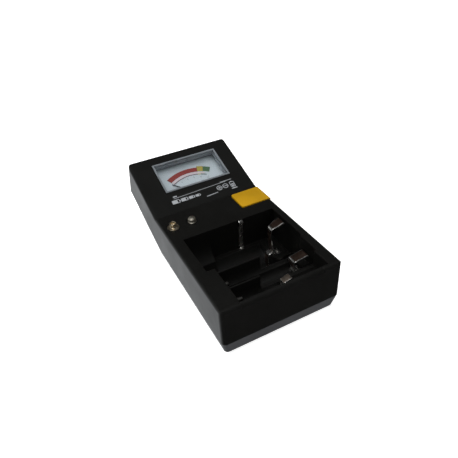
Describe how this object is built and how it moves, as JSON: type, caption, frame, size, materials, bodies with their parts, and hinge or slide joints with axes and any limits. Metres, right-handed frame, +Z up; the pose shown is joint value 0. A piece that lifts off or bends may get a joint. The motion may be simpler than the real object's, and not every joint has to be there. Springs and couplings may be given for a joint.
{
  "type": "battery tester",
  "caption": "Bench battery tester: bent slab case with a stepped trough of cell lanes, leaf spring contacts, snap contacts, an amber test key and a moving-coil meter.",
  "frame": {"origin": "on the resting plane, midway across the width, 50 mm behind the foot of the front face", "axes": "+X to the user's right, +Y from the front face towards the raised meter end, +Z up from the resting face"},
  "size_m": [0.076, 0.155, 0.0509],
  "materials": {
    "shell_lower": "fine moulded texture",
    "shell_upper": "satin moulded, slight sheen",
    "bezel_grey": "satin",
    "clear_cover": "polished clear",
    "housing_grey": "smooth",
    "dial_paint": "matt enamel",
    "soft_iron": "plated",
    "magnet": "sintered",
    "brass": "stamped",
    "coil_copper": "lacquered wire",
    "steel_bright": "ground",
    "pointer_paint": "matt",
    "key_amber": "satin moulded",
    "switch_black": "moulded",
    "switch_white": "moulded",
    "board_green": "solder resist",
    "resistor_body": "lacquered",
    "snap_gilt": "bright plated",
    "nickel": "bright nickel plate",
    "spring_strip": "tarnished nickel over spring strip",
    "wire_cover": "extruded",
    "screw_steel": "zinc plated"
  },
  "bodies": {
    "case": {"bottom_shell": "shell_lower", "top_shell": "shell_upper", "meter_bezel": "bezel_grey", "meter_cover": "clear_cover", "meter_housing": "housing_grey", "dial_plate": "dial_paint", "yoke_ring": "soft_iron", "magnet_core": "magnet", "upper_bridge": "brass", "meter_terminals": "brass", "switch_body": "switch_black", "circuit_board": "board_green", "load_resistors": "resistor_body", "snap_stud": "snap_gilt", "snap_socket": "snap_gilt", "contact_d": "nickel", "contact_aa": "nickel", "contact_n": "nickel", "leaf_feet": "nickel", "coin_contact": "nickel", "contact_rivets": "nickel", "lead_wires": "wire_cover", "case_screws": "screw_steel"},
    "movement": {"moving_coil": "coil_copper", "pivot_shaft": "steel_bright", "pointer": "pointer_paint"},
    "key": {"test_button": "key_amber"},
    "plunger": {"switch_plunger": "switch_white"},
    "leaf_d": {"leaf_d": "spring_strip"},
    "leaf_c": {"leaf_c": "spring_strip"},
    "leaf_aa": {"leaf_aa": "spring_strip"},
    "leaf_n": {"leaf_n": "spring_strip"}
  },
  "joints": [
    {"name": "pointer_turn", "type": "hinge", "parent": "case", "child": "movement", "pos_m": [0.0005, 0.05799, 0.03367], "axis": [0, 0.3256, -0.9455], "range_deg": [0, 88], "stiffness_Nm_per_rad": 0.00002},
    {"name": "key_press", "type": "slide", "parent": "case", "child": "key", "axis": [0, 0, -1], "range_m": [0, 0.0015], "stiffness_N_per_m": 400, "springref_m": -0.002},
    {"name": "plunger_slide", "type": "slide", "parent": "case", "child": "plunger", "axis": [0, 0, -1], "range_m": [0, 0.0015]},
    {"name": "leaf_d_flex", "type": "hinge", "parent": "case", "child": "leaf_d", "pos_m": [0.0226, -0.0014, 0.0136], "axis": [0, 1, 0], "range_deg": [0, 7], "stiffness_Nm_per_rad": 0.15},
    {"name": "leaf_c_flex", "type": "hinge", "parent": "case", "child": "leaf_c", "pos_m": [0.0166, -0.0062, 0.0064], "axis": [0, 1, 0], "range_deg": [0, 10], "stiffness_Nm_per_rad": 0.15},
    {"name": "leaf_aa_flex", "type": "hinge", "parent": "case", "child": "leaf_aa", "pos_m": [0.0212, -0.0268, 0.0191], "axis": [0, 1, 0], "range_deg": [0, 10], "stiffness_Nm_per_rad": 0.15},
    {"name": "leaf_n_flex", "type": "hinge", "parent": "case", "child": "leaf_n", "pos_m": [0.005, -0.0412, 0.0232], "axis": [0, 1, 0], "range_deg": [0, 12], "stiffness_Nm_per_rad": 0.15}
  ],
  "couplings": [
    {"joint": "plunger_slide", "follows": "key_press", "ratio": 1}
  ]
}
